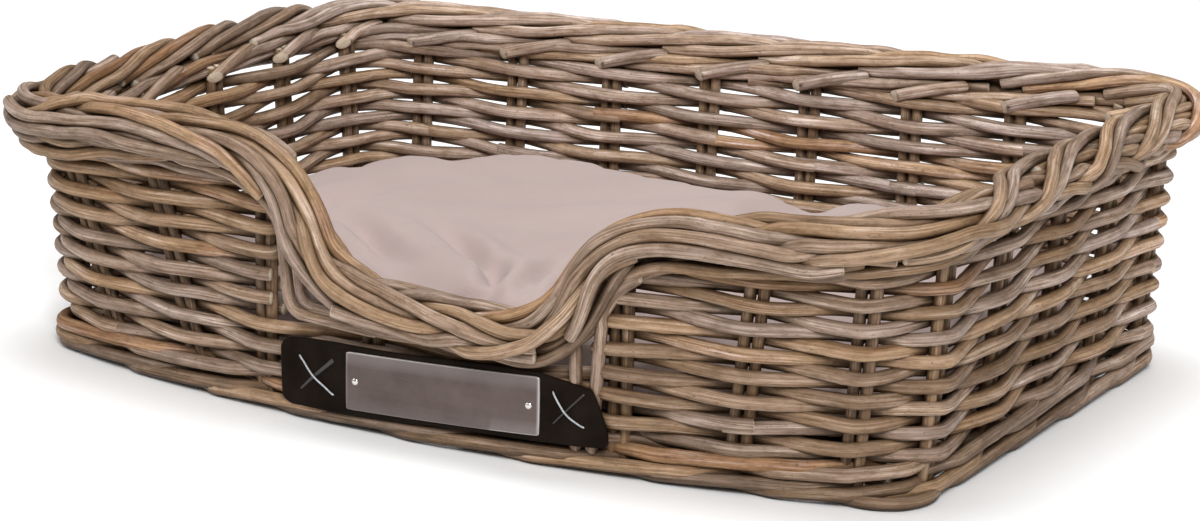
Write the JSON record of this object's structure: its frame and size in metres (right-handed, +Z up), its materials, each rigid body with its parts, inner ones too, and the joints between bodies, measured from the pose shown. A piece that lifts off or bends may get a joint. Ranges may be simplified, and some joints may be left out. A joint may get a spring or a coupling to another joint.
{
  "type": "pet bed basket",
  "caption": "Low woven rattan pet bed with a swept-down front entrance, a twisted border, a loose cushion and a leather name tag.",
  "frame": {"origin": "centre of the footprint on the floor", "axes": "+X along the long side, to the right seen from the front; the entrance faces -Y; +Z up"},
  "size_m": [0.6956, 0.4894, 0.173],
  "materials": {
    "woven_rattan": "semi-matte greyed kubu rattan",
    "border_rattan": "semi-matte greyed kubu rattan",
    "stake_rattan": "matte brown rattan",
    "base_rattan": "matte rattan",
    "tag_leather": "satin smooth leather",
    "tag_metal": "brushed",
    "pin_metal": "polished dome",
    "waxed_thread": "waxed",
    "cushion_cotton": "matte woven cotton",
    "fibre_filling": "matte fibre",
    "zip_fabric": "matte woven tape",
    "zip_plastic": "matte",
    "slider_metal": "satin"
  },
  "bodies": {
    "basket": {"weave_row_1": "woven_rattan", "weave_row_2": "woven_rattan", "weave_row_3": "woven_rattan", "weave_row_4": "woven_rattan", "weave_row_5": "woven_rattan", "weave_row_6": "woven_rattan", "weave_row_7": "woven_rattan", "weave_row_8": "woven_rattan", "weave_row_9": "woven_rattan", "border_rod_1": "border_rattan", "border_rod_2": "border_rattan", "border_rod_3": "border_rattan", "border_rod_4": "border_rattan", "border_rod_5": "border_rattan", "border_rod_6": "border_rattan", "border_rod_7": "border_rattan", "border_rod_8": "border_rattan", "border_rod_9": "border_rattan", "border_cut_ends": "border_rattan", "stakes_back": "stake_rattan", "stakes_left": "stake_rattan", "stakes_right": "stake_rattan", "stakes_front_left": "stake_rattan", "stakes_front_right": "stake_rattan", "stakes_front_low": "stake_rattan", "entrance_rods": "border_rattan", "foot_ring_outer": "base_rattan", "foot_ring_inner": "base_rattan", "base_sticks": "base_rattan", "base_weave_upper": "base_rattan", "base_weave_lower": "base_rattan", "leather_patch": "tag_leather", "name_plate": "tag_metal", "plate_pins": "pin_metal", "stitch_left": "waxed_thread", "stitch_right": "waxed_thread"},
    "cushion": {"cushion_cover": "cushion_cotton", "cushion_filling": "fibre_filling", "zip_tape": "zip_fabric", "zip_teeth": "zip_plastic"},
    "slider": {"zip_slider": "slider_metal"}
  },
  "joints": [
    {"name": "cushion_lift", "type": "slide", "parent": "basket", "child": "cushion", "axis": [0, 0, 1], "range_m": [0, 0.3]},
    {"name": "zip_slide", "type": "slide", "parent": "cushion", "child": "slider", "axis": [-1, 0, 0], "range_m": [0, 0.425]}
  ]
}
